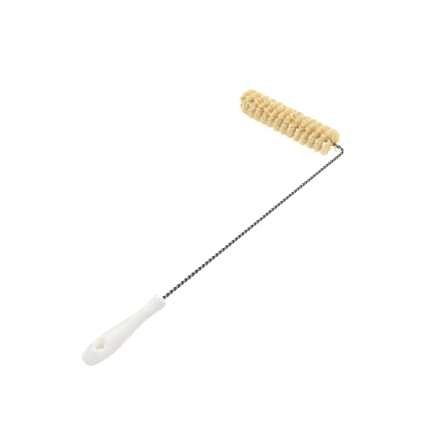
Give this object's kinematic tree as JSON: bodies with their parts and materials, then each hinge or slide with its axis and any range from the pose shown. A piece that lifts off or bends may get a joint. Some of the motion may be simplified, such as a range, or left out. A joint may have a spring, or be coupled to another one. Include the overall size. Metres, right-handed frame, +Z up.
{
  "type": "fryer brush",
  "caption": "L-shaped fryer brush: a twisted wire stem turns a right angle into a double spiral of pale bristles, with an oval plastic grip and a hang hole.",
  "frame": {"origin": "centre of the brush's bounding box, on the surface that it lies on", "axes": "+X along the stem from the handle to the bend, +Y along the bristle head away from the stem, +Z up"},
  "size_m": [0.5866, 0.2394, 0.0522],
  "materials": {
    "white_plastic": "smooth moulded off-white plastic with a soft sheen",
    "steel_wire": "drawn galvanised steel wire, dull grey",
    "bristle": "stiff straw-coloured bristles, cut square at the tips"
  },
  "bodies": {
    "root": {"handle": "white_plastic", "wire_a": "steel_wire", "wire_b": "steel_wire", "bristles": "bristle"}
  },
  "joints": []
}
